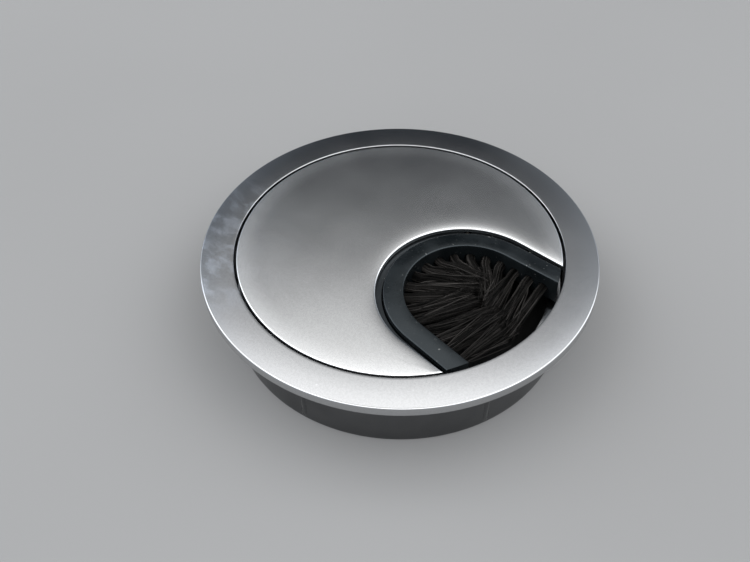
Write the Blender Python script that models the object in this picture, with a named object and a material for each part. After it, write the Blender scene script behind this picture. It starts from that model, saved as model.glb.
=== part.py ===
"""Round desk grommet for an 80 mm hole: a cast metal ring, a turning cover and a tufted cable brush.

Frame: +Z up, the origin at the centre of the barrel's bottom rim, and +X through the middle of the
cable opening. The ring stands on z = 0. The cover, its carrier, the brush block and the tufts turn
together about +Z inside the ring, on its inner ledge. The cover plate lifts off along +Z.

Lengths below are in millimetres, as the drawing would give them; MM turns them into metres.
"""

import math

import bmesh
import bpy
from mathutils import Matrix, Vector

MM = 0.001

# Driving dimensions of the outer ring
FLANGE_RADIUS = 46.0
LIP_RADIUS = 38.33
BARREL_RADIUS = 39.85
BORE_RADIUS = 38.3
LEDGE_RADIUS = 35.5
RING_HEIGHT = 20.0
FLANGE_SEAT_Z = 17.4
FLANGE_ROLL = 0.35
FLANGE_ROLL_ANGLES = (0.0, 30.0, 60.0, 86.0)
FLANGE_ROLL_DROP = 0.22
FLANGE_CROWN = ((43.4, 0.09), (41.2, 0.02))  # radius, and how far its top has fallen there
LEDGE_TOP_Z = 12.3
LEDGE_BOTTOM_Z = 10.8
RING_EDGE = 0.3
CRUSH_RIBS = 6
CRUSH_RIB_RADIUS = 0.6
CRUSH_RIB_SINK = 0.15
CRUSH_RIB_FACETS = 8
CRUSH_RIB_PHASE = 41.2
CRUSH_RIB_Z = (1.0, 15.5)

# The cover plate, and the cable cut that runs out through its rim
COVER_RADIUS = 37.74
COVER_THICKNESS = 1.3
COVER_CUT_X = 20.6
COVER_CUT_RADIUS = 20.4
COVER_CUT_FLARE = 2.5
COVER_EDGE_ROUND = 0.5
LUG_RADIUS = 1.5
LUG_LENGTH = 1.5
LUG_PLACES = ((-27.0, 0.0), (-6.0, 29.0), (-6.0, -29.0))

# Gap between pieces that touch
GAP = 0.3

# How far a joined shape is sunk into the body it joins, and how far a cutting shape passes a face
ROOT = 0.5
PASS = 1.0

# The carrier that the cover plate and the brush block are held by
CARRIER_RADIUS = 37.3
CARRIER_THICKNESS = 2.5
CARRIER_EDGE = 0.3
SKIRT_WALL = 2.0
STIFFENERS = (115.0, 147.5, 180.0, 212.5, 245.0)
STIFFENER_WIDTH = 1.3
STIFFENER_DEPTH = 2.2
STIFFENER_REACH = (6.0, 35.8)

# The brush block, which rims the cable cut
BLOCK_X = 21.0
BLOCK_OUTER_RADIUS = 19.1
BLOCK_INNER_RADIUS = 14.5
BLOCK_FLARE = 4.5
BLOCK_END_RADIUS = 37.3
BLOCK_BOTTOM_Z = 13.6
BLOCK_TOP_OUTER_Z = 19.75
BLOCK_TOP_INNER_Z = 20.2
BLOCK_CHAMFER = 0.35
EAR_RADIUS = 3.0
EAR_THICKNESS = 2.0
EAR_OVERLAP = 0.4

# Screws that hold the brush block up against the carrier
SCREW_RADIUS = 1.0
SCREW_HEAD_RADIUS = 2.1
SCREW_HEAD_HEIGHT = 1.2
SCREW_HEAD_SLOPE = (0.6, 0.5)
SCREW_LENGTH = 4.6
SCREW_POINT = 1.0
SCREW_RECESS_REACH = 1.0
SCREW_RECESS_WIDTH = 0.5
SCREW_RECESS_DEPTH = 0.7
SCREW_TIP_ANGLE = 50.0
SCREW_SIDE_X = 22.0

# Bristle tufts, set in blind holes round the block's inner wall
TUFTS = 18
TUFT_PITCH = 3.78
TUFT_Z = 16.3
TUFT_HOLE_RADIUS = 1.3
TUFT_HOLE_DEPTH = 2.6
TUFT_ROOT = 2.2
TUFT_LENGTH = 10.4
TUFT_DROOPS = (0.6, 4.9)
TUFT_STATIONS = ((-TUFT_ROOT, 0.95), (0.6, 0.95), (3.6, 1.0), (7.4, 0.85), (TUFT_LENGTH, 0.35))
TUFT_SIDES = 8

# Facets
RING_FACETS = 72
CUT_FACETS = 28
EAR_FACETS = 20
SMALL_FACETS = 12

COVER_TOP_Z = RING_HEIGHT
COVER_BOTTOM_Z = COVER_TOP_Z - COVER_THICKNESS
CARRIER_TOP_Z = COVER_BOTTOM_Z - GAP
CARRIER_BOTTOM_Z = CARRIER_TOP_Z - CARRIER_THICKNESS
SKIRT_BOTTOM_Z = LEDGE_TOP_Z + GAP
EAR_TOP_Z = CARRIER_BOTTOM_Z - GAP
EAR_BOTTOM_Z = EAR_TOP_Z - EAR_THICKNESS
SCREW_SEAT_Z = EAR_BOTTOM_Z - GAP


def clear_scene():
    for obj in list(bpy.data.objects):
        bpy.data.objects.remove(obj, do_unlink=True)


def make_material(name, colour, metallic, roughness):
    """A Principled BSDF in the piece's own colour."""
    mat = bpy.data.materials.new(name)
    mat.use_nodes = True
    shader = mat.node_tree.nodes["Principled BSDF"]
    shader.inputs["Base Color"].default_value = (*colour, 1.0)
    shader.inputs["Metallic"].default_value = metallic
    shader.inputs["Roughness"].default_value = roughness
    return mat


def add_object(name, bm, mat, smooth_angle=35.0):
    """Turns a bmesh in millimetres into an object in metres."""
    bmesh.ops.scale(bm, vec=(MM, MM, MM), verts=bm.verts)
    bmesh.ops.recalc_face_normals(bm, faces=bm.faces)
    mesh = bpy.data.meshes.new(name)
    bm.to_mesh(mesh)
    bm.free()
    mesh.shade_smooth()
    mesh.set_sharp_from_angle(angle=math.radians(smooth_angle))
    obj = bpy.data.objects.new(name, mesh)
    bpy.context.scene.collection.objects.link(obj)
    if mat is not None:
        mesh.materials.append(mat)
    return obj


def add_cutter(name, bm):
    """A hidden shape that a Boolean modifier uses."""
    obj = add_object(name, bm, None)
    obj.hide_render = True
    obj.display_type = "WIRE"
    return obj


def add_boolean(obj, tool, operation):
    modifier = obj.modifiers.new(tool.name, "BOOLEAN")
    modifier.operation = operation
    modifier.solver = "EXACT"
    modifier.object = tool


def turn(bm, profile, segments, closed):
    """Revolves (radius, z) points about Z; a closed profile gives a hollow ring."""
    rings = []
    for radius, z in profile:
        if radius < 1e-6:
            rings.append([bm.verts.new((0.0, 0.0, z))])
            continue
        angles = [math.tau * k / segments for k in range(segments)]
        rings.append([bm.verts.new((radius * math.cos(a), radius * math.sin(a), z)) for a in angles])
    pairs = list(zip(rings, rings[1:]))
    if closed:
        pairs.append((rings[-1], rings[0]))
    for lower, upper in pairs:
        for k in range(segments):
            n = (k + 1) % segments
            corners = []
            for vert in (lower[k % len(lower)], lower[n % len(lower)],
                         upper[n % len(upper)], upper[k % len(upper)]):
                if vert not in corners:
                    corners.append(vert)
            bm.faces.new(corners)


def extrude_outline(bm, outline, z_low, z_high):
    """A prism over a flat outline; returns its top face."""
    low = [bm.verts.new((x, y, z_low)) for x, y in outline]
    face = bm.faces.new(low)
    result = bmesh.ops.extrude_face_region(bm, geom=[face])
    top = [v for v in result["geom"] if isinstance(v, bmesh.types.BMVert)]
    bmesh.ops.translate(bm, verts=top, vec=(0.0, 0.0, z_high - z_low))
    return next(f for f in result["geom"] if isinstance(f, bmesh.types.BMFace))


def add_cylinder(bm, x, y, radius, z_low, z_high, facets=SMALL_FACETS):
    place = Matrix.Translation((x, y, (z_low + z_high) / 2))
    bmesh.ops.create_cone(bm, cap_ends=True, segments=facets, radius1=radius, radius2=radius,
                          depth=z_high - z_low, matrix=place)


def cut_path(centre_x, radius, flare, end_radius, facets=CUT_FACETS):
    """The U-shaped path round a cable cut, from its -Y arm's end, round the tip, to its +Y arm's end.

    The tip is an arc about (centre_x, 0), and the arms leave it along tangents that open by the
    flare angle, until they reach end_radius from the grommet's axis.
    """
    flare = math.radians(flare)
    start_x = centre_x - radius * math.sin(flare)
    start_y = radius * math.cos(flare)
    along = start_x * math.cos(flare) + start_y * math.sin(flare)
    reach = -along + math.sqrt(along**2 + end_radius**2 - start_x**2 - start_y**2)
    end = (start_x + reach * math.cos(flare), start_y + reach * math.sin(flare))
    sweep = math.pi / 2 - flare
    points = [(end[0], -end[1])]
    for k in range(facets + 1):
        angle = -sweep + 2 * sweep * k / facets
        points.append((centre_x - radius * math.cos(angle), radius * math.sin(angle)))
    points.append(end)
    return points


def notched_disc(radius, path, facets=RING_FACETS):
    """A disc's outline with a cable cut let into its +X side."""
    first = math.atan2(path[-1][1], path[-1][0])
    sweep = math.tau - 2 * first
    rim = [first + sweep * k / facets for k in range(1, facets)]
    return list(path) + [(radius * math.cos(a), radius * math.sin(a)) for a in rim]


def build_outer_ring(mat):
    """Flange, barrel and inner ledge turned as one casting, with crush ribs on the barrel."""
    profile = [
        (LIP_RADIUS + RING_EDGE, RING_HEIGHT),
        (LIP_RADIUS, RING_HEIGHT - RING_EDGE),
        (LIP_RADIUS, LEDGE_TOP_Z),
        (LEDGE_RADIUS + RING_EDGE, LEDGE_TOP_Z),
        (LEDGE_RADIUS, LEDGE_TOP_Z - RING_EDGE),
        (LEDGE_RADIUS, LEDGE_BOTTOM_Z + RING_EDGE),
        (LEDGE_RADIUS + RING_EDGE, LEDGE_BOTTOM_Z),
        (BORE_RADIUS, LEDGE_BOTTOM_Z),
        (BORE_RADIUS, 0.0),
        (BARREL_RADIUS - RING_EDGE, 0.0),
        (BARREL_RADIUS, RING_EDGE),
        (BARREL_RADIUS, FLANGE_SEAT_Z),
        (FLANGE_RADIUS - RING_EDGE, FLANGE_SEAT_Z),
        (FLANGE_RADIUS, FLANGE_SEAT_Z + RING_EDGE),
    ]
    roll_z = RING_HEIGHT - FLANGE_ROLL_DROP - FLANGE_ROLL
    for degrees in FLANGE_ROLL_ANGLES:
        out = FLANGE_ROLL * math.cos(math.radians(degrees))
        up = FLANGE_ROLL * math.sin(math.radians(degrees))
        profile.append((FLANGE_RADIUS - FLANGE_ROLL + out, roll_z + up))
    profile += [(radius, RING_HEIGHT - drop) for radius, drop in FLANGE_CROWN]
    bm = bmesh.new()
    turn(bm, profile, RING_FACETS, closed=True)
    ring = add_object("outer_ring", bm, mat)

    ribs = bmesh.new()
    for k in range(CRUSH_RIBS):
        angle = math.radians(CRUSH_RIB_PHASE) + math.tau * k / CRUSH_RIBS
        x = (BARREL_RADIUS - CRUSH_RIB_SINK) * math.cos(angle)
        y = (BARREL_RADIUS - CRUSH_RIB_SINK) * math.sin(angle)
        add_cylinder(ribs, x, y, CRUSH_RIB_RADIUS, *CRUSH_RIB_Z, facets=CRUSH_RIB_FACETS)
    add_boolean(ring, add_cutter("crush_ribs_tool", ribs), "UNION")


def build_cover_plate(mat):
    """Flat plate with a rounded top edge, the cable cut, and locating lugs underneath."""
    path = cut_path(COVER_CUT_X, COVER_CUT_RADIUS, COVER_CUT_FLARE, COVER_RADIUS)
    bm = bmesh.new()
    top = extrude_outline(bm, notched_disc(COVER_RADIUS, path), COVER_BOTTOM_Z, COVER_TOP_Z)
    bmesh.ops.bevel(bm, geom=list(top.edges), offset=COVER_EDGE_ROUND, segments=2, profile=0.5,
                    affect="EDGES", clamp_overlap=True)
    plate = add_object("cover_plate", bm, mat)

    lugs = bmesh.new()
    for x, y in LUG_PLACES:
        add_cylinder(lugs, x, y, LUG_RADIUS, COVER_BOTTOM_Z - LUG_LENGTH, COVER_BOTTOM_Z + ROOT)
    add_boolean(plate, add_cutter("lugs_tool", lugs), "UNION")


def screw_places():
    """Two screws round the block's tip and one beside each arm."""
    reach = BLOCK_OUTER_RADIUS + EAR_RADIUS - EAR_OVERLAP
    angle = math.radians(SCREW_TIP_ANGLE)
    tip_x = BLOCK_X - reach * math.cos(angle)
    tip_y = reach * math.sin(angle)
    return ((tip_x, tip_y), (SCREW_SIDE_X, reach), (SCREW_SIDE_X, -reach), (tip_x, -tip_y))


def build_carrier(mat):
    """Moulded disc with a skirt that turns on the ring's ledge, stiffeners, and holes for its screws."""
    profile = [
        (0.0, CARRIER_BOTTOM_Z),
        (CARRIER_RADIUS - SKIRT_WALL, CARRIER_BOTTOM_Z),
        (CARRIER_RADIUS - SKIRT_WALL, SKIRT_BOTTOM_Z),
        (CARRIER_RADIUS, SKIRT_BOTTOM_Z),
        (CARRIER_RADIUS, CARRIER_TOP_Z - CARRIER_EDGE),
        (CARRIER_RADIUS - CARRIER_EDGE, CARRIER_TOP_Z),
        (0.0, CARRIER_TOP_Z),
    ]
    bm = bmesh.new()
    turn(bm, profile, RING_FACETS, closed=False)
    carrier = add_object("carrier", bm, mat)

    ribs = bmesh.new()
    inner, outer = STIFFENER_REACH
    for degrees in STIFFENERS:
        size = Matrix.Diagonal((outer - inner, STIFFENER_WIDTH, STIFFENER_DEPTH + ROOT, 1.0))
        middle_z = CARRIER_BOTTOM_Z + (ROOT - STIFFENER_DEPTH) / 2
        shift = Matrix.Translation(((inner + outer) / 2, 0.0, middle_z))
        swing = Matrix.Rotation(math.radians(degrees), 4, "Z")
        bmesh.ops.create_cube(ribs, size=1.0, matrix=swing @ shift @ size)
    add_boolean(carrier, add_cutter("stiffeners_tool", ribs), "UNION")

    cut = bmesh.new()
    path = cut_path(BLOCK_X, BLOCK_OUTER_RADIUS + GAP, BLOCK_FLARE, FLANGE_RADIUS)
    extrude_outline(cut, path, SKIRT_BOTTOM_Z - PASS, CARRIER_TOP_Z + PASS)
    add_boolean(carrier, add_cutter("carrier_cut_tool", cut), "DIFFERENCE")

    holes = bmesh.new()
    for x, y in screw_places():
        add_cylinder(holes, x, y, SCREW_RADIUS + GAP, CARRIER_BOTTOM_Z - PASS, CARRIER_TOP_Z + PASS)
    for x, y in LUG_PLACES:
        add_cylinder(holes, x, y, LUG_RADIUS + GAP, SKIRT_BOTTOM_Z, CARRIER_TOP_Z + PASS)
    add_boolean(carrier, add_cutter("carrier_holes_tool", holes), "DIFFERENCE")


def block_wall_place(distance):
    """The point on the block's inner wall at a distance from its tip, and the way into the opening."""
    flare = math.radians(BLOCK_FLARE)
    sweep = math.pi / 2 - flare
    side = 1.0 if distance >= 0 else -1.0
    arc = BLOCK_INNER_RADIUS * sweep
    angle = min(abs(distance) / BLOCK_INNER_RADIUS, sweep)
    beyond = max(abs(distance) - arc, 0.0)
    x = BLOCK_X - BLOCK_INNER_RADIUS * math.cos(angle) + beyond * math.cos(flare)
    y = BLOCK_INNER_RADIUS * math.sin(angle) + beyond * math.sin(flare)
    return Vector((x, side * y)), Vector((math.cos(angle), -side * math.sin(angle)))


def build_brush_block(mat):
    """U-shaped block with a crowned top, screw ears outside and blind tuft holes inside."""
    section = [
        (BLOCK_INNER_RADIUS, BLOCK_BOTTOM_Z),
        (BLOCK_OUTER_RADIUS, BLOCK_BOTTOM_Z),
        (BLOCK_OUTER_RADIUS, BLOCK_TOP_OUTER_Z - BLOCK_CHAMFER),
        (BLOCK_OUTER_RADIUS - BLOCK_CHAMFER, BLOCK_TOP_OUTER_Z),
        (BLOCK_INNER_RADIUS + BLOCK_CHAMFER, BLOCK_TOP_INNER_Z),
        (BLOCK_INNER_RADIUS, BLOCK_TOP_INNER_Z - BLOCK_CHAMFER),
    ]
    bm = bmesh.new()
    rails = []
    for radius, z in section:
        path = cut_path(BLOCK_X, radius, BLOCK_FLARE, BLOCK_END_RADIUS)
        rails.append([bm.verts.new((x, y, z)) for x, y in path])
    stations = len(rails[0])
    for rail, following in zip(rails, rails[1:] + rails[:1]):
        for k in range(stations - 1):
            bm.faces.new((rail[k], rail[k + 1], following[k + 1], following[k]))
    bm.faces.new([rail[0] for rail in rails])
    bm.faces.new([rail[-1] for rail in reversed(rails)])
    block = add_object("brush_block", bm, mat)

    for k, (x, y) in enumerate(screw_places()):
        ear = bmesh.new()
        add_cylinder(ear, x, y, EAR_RADIUS, EAR_BOTTOM_Z, EAR_TOP_Z, facets=EAR_FACETS)
        add_boolean(block, add_cutter(f"ear_tool_{k}", ear), "UNION")

    holes = bmesh.new()
    for x, y in screw_places():
        add_cylinder(holes, x, y, SCREW_RADIUS + GAP, EAR_BOTTOM_Z - PASS, EAR_TOP_Z + PASS)
    for k in range(TUFTS):
        place, inward = block_wall_place((k - (TUFTS - 1) / 2) * TUFT_PITCH)
        middle = place - inward * (TUFT_HOLE_DEPTH - PASS) / 2
        axis = Vector((inward.x, inward.y, 0.0)).to_track_quat("Z", "Y").to_matrix().to_4x4()
        bmesh.ops.create_cone(
            holes, cap_ends=True, segments=TUFT_SIDES, radius1=TUFT_HOLE_RADIUS,
            radius2=TUFT_HOLE_RADIUS, depth=TUFT_HOLE_DEPTH + PASS,
            matrix=Matrix.Translation((middle.x, middle.y, TUFT_Z)) @ axis)
    add_boolean(block, add_cutter("block_holes_tool", holes), "DIFFERENCE")


def cross_outline(reach, half_width):
    """A plus sign's outline, one quarter at a time."""
    quarter = ((reach, -half_width), (reach, half_width), (half_width, half_width))
    outline = []
    for k in range(4):
        c = math.cos(math.pi / 2 * k)
        s = math.sin(math.pi / 2 * k)
        outline += [(x * c - y * s, x * s + y * c) for x, y in quarter]
    return outline


def build_screw(name, x, y, mat):
    """Pan-head self-tapping screw, head down, with a cross recess."""
    head_z = SCREW_SEAT_Z - SCREW_HEAD_HEIGHT
    tip_z = SCREW_SEAT_Z + SCREW_LENGTH
    slope_in, slope_up = SCREW_HEAD_SLOPE
    profile = [
        (0.0, head_z),
        (SCREW_HEAD_RADIUS - slope_in, head_z),
        (SCREW_HEAD_RADIUS, head_z + slope_up),
        (SCREW_HEAD_RADIUS, SCREW_SEAT_Z),
        (SCREW_RADIUS, SCREW_SEAT_Z),
        (SCREW_RADIUS, tip_z - SCREW_POINT),
        (0.0, tip_z),
    ]
    bm = bmesh.new()
    turn(bm, profile, SMALL_FACETS, closed=False)
    screw = add_object(name, bm, mat)
    screw.location = (x * MM, y * MM, 0.0)

    recess = bmesh.new()
    extrude_outline(recess, cross_outline(SCREW_RECESS_REACH, SCREW_RECESS_WIDTH / 2),
                    head_z - PASS, head_z + SCREW_RECESS_DEPTH)
    tool = add_cutter(f"{name}_recess_tool", recess)
    tool.location = screw.location
    add_boolean(screw, tool, "DIFFERENCE")


def build_tuft(name, distance, droop, mat):
    """One bundle of bristles as a plain tapered solid: straight in its hole, then bending down."""
    place, inward = block_wall_place(distance)
    across = Vector((-inward.y, inward.x, 0.0))
    up = Vector((0.0, 0.0, 1.0))
    bm = bmesh.new()
    rings = []
    for reach, radius in TUFT_STATIONS:
        drop = droop * (max(reach, 0.0) / TUFT_LENGTH) ** 2
        centre = Vector((place.x + inward.x * reach, place.y + inward.y * reach, TUFT_Z - drop))
        angles = [math.tau * k / TUFT_SIDES for k in range(TUFT_SIDES)]
        rings.append([
            bm.verts.new(centre + radius * (math.cos(a) * across + math.sin(a) * up)) for a in angles])
    for ring, following in zip(rings, rings[1:]):
        for k in range(TUFT_SIDES):
            n = (k + 1) % TUFT_SIDES
            bm.faces.new((ring[k], ring[n], following[n], following[k]))
    bm.faces.new(rings[0])
    bm.faces.new(rings[-1])
    add_object(name, bm, mat)


def main():
    clear_scene()
    ring_nickel = make_material("ring_nickel", (0.52, 0.52, 0.53), 1.0, 0.32)
    cover_nickel = make_material("cover_nickel", (0.69, 0.69, 0.70), 1.0, 0.32)
    plastic = make_material("black_plastic", (0.035, 0.038, 0.04), 0.0, 0.5)
    nylon = make_material("bristle_nylon", (0.04, 0.037, 0.035), 0.0, 0.45)
    zinc = make_material("zinc_plated_steel", (0.55, 0.55, 0.53), 1.0, 0.35)

    build_outer_ring(ring_nickel)
    build_cover_plate(cover_nickel)
    build_carrier(plastic)
    build_brush_block(plastic)
    for k, (x, y) in enumerate(screw_places(), start=1):
        build_screw(f"block_screw_{k}", x, y, zinc)
    for k in range(TUFTS):
        distance = (k - (TUFTS - 1) / 2) * TUFT_PITCH
        build_tuft(f"bristle_tuft_{k + 1:02d}", distance, TUFT_DROOPS[k % 2], nylon)


main()
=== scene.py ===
"""Looks for the desk grommet: fine surfaces, real bristles, materials, lights and the camera.

Lengths are in millimetres, as in the design, and MM turns them into metres. The frame's axes are the
grommet's: +Z up, +X through the middle of the cable opening.
"""

import math
import random

import bmesh
import bpy
from mathutils import Matrix, Vector


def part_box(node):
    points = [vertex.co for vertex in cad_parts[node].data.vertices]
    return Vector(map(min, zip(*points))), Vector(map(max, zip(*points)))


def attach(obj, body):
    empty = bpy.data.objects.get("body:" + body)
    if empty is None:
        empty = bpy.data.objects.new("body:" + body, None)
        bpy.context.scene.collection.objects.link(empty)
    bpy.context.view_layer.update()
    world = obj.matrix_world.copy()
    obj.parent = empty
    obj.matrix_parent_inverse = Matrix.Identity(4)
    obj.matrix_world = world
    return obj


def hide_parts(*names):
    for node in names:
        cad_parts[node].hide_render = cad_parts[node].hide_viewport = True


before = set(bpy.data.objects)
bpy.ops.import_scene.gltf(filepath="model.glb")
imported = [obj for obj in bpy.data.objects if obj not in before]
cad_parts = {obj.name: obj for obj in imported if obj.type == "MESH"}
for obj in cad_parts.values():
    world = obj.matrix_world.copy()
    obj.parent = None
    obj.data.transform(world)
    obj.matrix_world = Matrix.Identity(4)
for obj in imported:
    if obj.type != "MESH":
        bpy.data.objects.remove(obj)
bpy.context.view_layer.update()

MM = 0.001
TINY = 1e-6
ONE_SPOT = 1e-6  # metres: vertices nearer than this are one
SHARP_ANGLE = 32.0


def cad_extent(node):
    """A CAD node's lowest and highest corner, in millimetres."""
    low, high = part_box(node)
    return low / MM, high / MM


# Sizes read from the frame
RING_LOW, RING_HIGH = cad_extent("outer_ring")
COVER_LOW, COVER_HIGH = cad_extent("cover_plate")
CARRIER_LOW, CARRIER_HIGH = cad_extent("carrier")
BLOCK_LOW, BLOCK_HIGH = cad_extent("brush_block")
FLANGE_RADIUS = RING_HIGH.x
RING_TOP = RING_HIGH.z
COVER_RADIUS = COVER_HIGH.y
COVER_TOP = COVER_HIGH.z
CARRIER_RADIUS = CARRIER_HIGH.y
CARRIER_TOP = CARRIER_HIGH.z
SKIRT_BOTTOM = CARRIER_LOW.z
BLOCK_BOTTOM = BLOCK_LOW.z
BLOCK_TOP_INNER = BLOCK_HIGH.z

# The ring: sizes of the design that a box doesn't give
LIP_RADIUS = 38.33
LIP_ROUND = 0.14
LIP_DEPTH = 2.0
BARREL_RADIUS = 39.85
BORE_RADIUS = 38.3
LEDGE_RADIUS = 35.5
LEDGE_TOP = 12.3
LEDGE_BOTTOM = 10.8
LEDGE_NOSE = 0.25
FLANGE_SEAT = 17.4
FLANGE_CROWN = 0.22
CROWN_POWER = 2.5
CROWN_STEPS = 14
FLANGE_ROLL = 0.35
ROLL_SWEEP = 86
ROLL_REACH = 0.93  # what the roll takes of the flange, as a share of its radius
FILLET = 0.3
EDGE_ROUND = 0.25
CREASE_FILLET = 0.35
GUARD = 0.2  # from a rounded edge to the vertices that keep the flat beside it shading flat
RING_STEPS = 288
CRUSH_RIBS = 6
CRUSH_RIB_PHASE = 41.2
CRUSH_RIB_RADIUS = 0.6
CRUSH_RIB_INSET = 0.15
CRUSH_RIB_TOP = 15.5
CRUSH_RIB_BOTTOM = 1.0
CRUSH_RIB_RUNOUT = 0.6

# The cover
COVER_THICKNESS = 1.3
COVER_CUT_X = 20.6
COVER_CUT_RADIUS = 20.4
COVER_CUT_FLARE = 2.5
CUT_FILLET, CUT_SLOPE, CUT_REACH = 0.42, 5.0, 1.4
RIM_FILLET, RIM_SLOPE, RIM_REACH = 0.3, 1.2, 1.6
FALL_STATIONS = (0.2, 0.45, 0.8, 1.3, 2.0, 2.9, 4.2, 6.0, 8.5)
UNDER_ROUND = 0.2
TOP_DEPTH = 1.0
LUG_RADIUS = 1.5
LUG_PLACES = ((-27.0, 0.0), (-6.0, 29.0), (-6.0, -29.0))
LUG_ROOT = 0.5

# The carrier, the brush block and the screws
GAP = 0.3  # round the block, the screws and the lugs
MOULD_EDGE = 0.3
CARRIER_THICKNESS = 2.5
CARRIER_CORNER = 0.4
SKIRT_WALL = 2.0
STIFFENERS = (115.0, 147.5, 180.0, 212.5, 245.0)
STIFFENER_WIDTH = 1.3
STIFFENER_DEPTH = 2.2
STIFFENER_ROOT = 0.5
STIFFENER_ROUND = 0.2
STIFFENER_REACH = (6.0, 35.8)
TOOL_PAST = 1.0  # how far a cutting tool reaches past what it cuts
BLOCK_X = 21.0
BLOCK_OUTER_RADIUS = 19.1
BLOCK_INNER_RADIUS = 14.5
BLOCK_FLARE = 4.5
BLOCK_END_RADIUS = 37.3
BLOCK_TOP_OUTER = 19.75
BLOCK_SWELL = 0.04
BLOCK_WALL_GUARD = 1.5
EAR_RADIUS = 3.0
EAR_THICKNESS = 2.0
EAR_OVERLAP = 0.4
SCREW_RADIUS = 1.0
SCREW_CORE = 0.76
SCREW_SHANK = 0.78
SCREW_HEAD_RADIUS = 2.1
SCREW_HEAD_HEIGHT = 1.2
SCREW_HEAD_DOME = 0.75
SCREW_TIP_ANGLE = 50.0
SCREW_SIDE_X = 22.0
THREAD_START = 0.35
THREAD_PITCH = 0.8
THREAD_FLANKS = (0.28, 0.36, 0.64)
RECESS_REACH = 1.05
RECESS_HALF_WIDTH = 0.24
RECESS_DEPTH = 0.75

# The tufts, from one end of the brush block to the other
TUFTS = 18
TUFT_PITCH = 3.78
TUFT_Z = 16.3
TUFT_RADIUS = 1.05
TUFT_HOLE_RADIUS = 1.3
TUFT_HOLE_DEPTH = 2.6
TUFT_SEEDS = 4000
# How they are combed: (distance of the root from the block's tip, heading in degrees, length)
COMBING = ((-33.0, 85.0, 14.0), (-28.0, 79.0, 16.0), (-25.0, 73.0, 17.5), (-20.0, 67.0, 18.0),
           (-15.0, 61.0, 17.0), (-5.0, 38.0, 15.5), (4.0, 19.0, 13.0), (11.0, -18.0, 12.0),
           (17.0, -50.0, 12.5), (20.0, -62.0, 13.5), (24.0, -76.0, 14.0), (33.0, -81.0, 16.0))
TUFT_SWING = 2.0
STRANDS = 7
STRAND_SWING = 3.5
STRAND_CLIMB = (-0.02, 0.06)
STRAND_LENGTHS = (0.9, 1.06)
HAIRS_PER_TUFT = 90
GOLDEN_ANGLE = 2.39996
HAIR_RADIUS = 0.085
HAIR_TAPER = 0.35
HAIR_SIDES = 5
HAIR_STATIONS = 9
HAIR_CEILING = RING_TOP - HAIR_RADIUS
HAIR_LENGTHS = (0.86, 1.05)
HAIR_SPREAD = 0.026
HAIR_CLIMB = 0.03
STRAY_SHARE = 0.06
STRAY_SPREAD = 3.0
BOW_ASIDE = 0.5
BOW_UP = (-0.3, 0.35)
ROOTED_SHARE = 0.8
BEND_REACH = 4.0
FAN = 0.25

# The camera, in the photograph's own heading: +Y is the way the camera faces
HEADING = math.radians(42.0)
CAMERA_REACH = 150.32
CAMERA_HEIGHT = 164.44
CAMERA_PITCH = 46.055
CAMERA_YAW = -2.170
CAMERA_ROLL = -0.795
CAMERA_LENS = 43.03
CAMERA_CLIP = 0.005
SENSOR_WIDTH = 36.0
FLOOR_HALF = 1.5
FLOOR_DROP = 0.00002

# The studio in the same heading. Light comes from a direction (across, ahead, up) of length 1. The
# softbox's places are across and ahead over up, as on a flat ceiling. A pair is where a change begins
# and where it ends. A glow or share is the level there.
HORIZON = 0.02
BOX_SIDES = (-0.308, 0.183)
BOX_SIDE_SOFT = 0.155
BOX_BACK = -0.5
BOX_FAR = 0.843
BOX_FAR_SOFT = 0.208
BOX_UP = (0.0, 0.1)
BOX_GLOW = 1.481
BOX_RISE = 0.924
BOX_RISE_END = 0.36
BOX_TINT = (1.0, 1.0, 0.995)
OVERHEAD_AHEAD = (0.42, 0.2)
OVERHEAD_SHARE = 0.42
LOW_UP = (0.35, 0.62)
LOW_GLOW = 0.06
MID_GLOW = 0.03
LOW_TINT = (0.84, 1.0, 1.18)
HIGH_UP = (0.62, 0.80)
HIGH_GLOW = 0.475
HIGH_TINT = (1.0, 1.0, 1.0)
WALL_EDGE = 0.62
WALL_RAMP = 0.3
WALL_RISE = 2.235
WALL_GLOW = 1.6
WALL_TINT = (0.99, 1.0, 1.01)
BACK_AHEAD = (0.32, 0.06)
BACK_SHARE = 0.45
PANEL_EDGE = 0.12
PANEL_SOFT = 0.306
LEFT_GLOW = 0.308
LEFT_TINT = (0.88, 1.0, 1.16)
RIGHT_GLOW = 0.388
RIGHT_TINT = (0.93, 1.0, 1.09)
WINDOW_EDGE = 0.42
WINDOW_SOFT = 0.13
WINDOW_UP = (0.3, 0.5)
WINDOW_AHEAD = (0.05, 0.22)
WINDOW_LEFT_GLOW = 1.4
WINDOW_RIGHT_GLOW = 0.8
WINDOW_TINT = (0.97, 1.0, 1.03)
BAND_AHEAD = (0.22, -0.05)
BAND_FOOT = (0.5, 0.68)
BAND_TOP = (0.975, 0.93)
BAND_GLOW = 2.2
BAND_TINT = (1.0, 1.0, 1.0)

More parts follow.
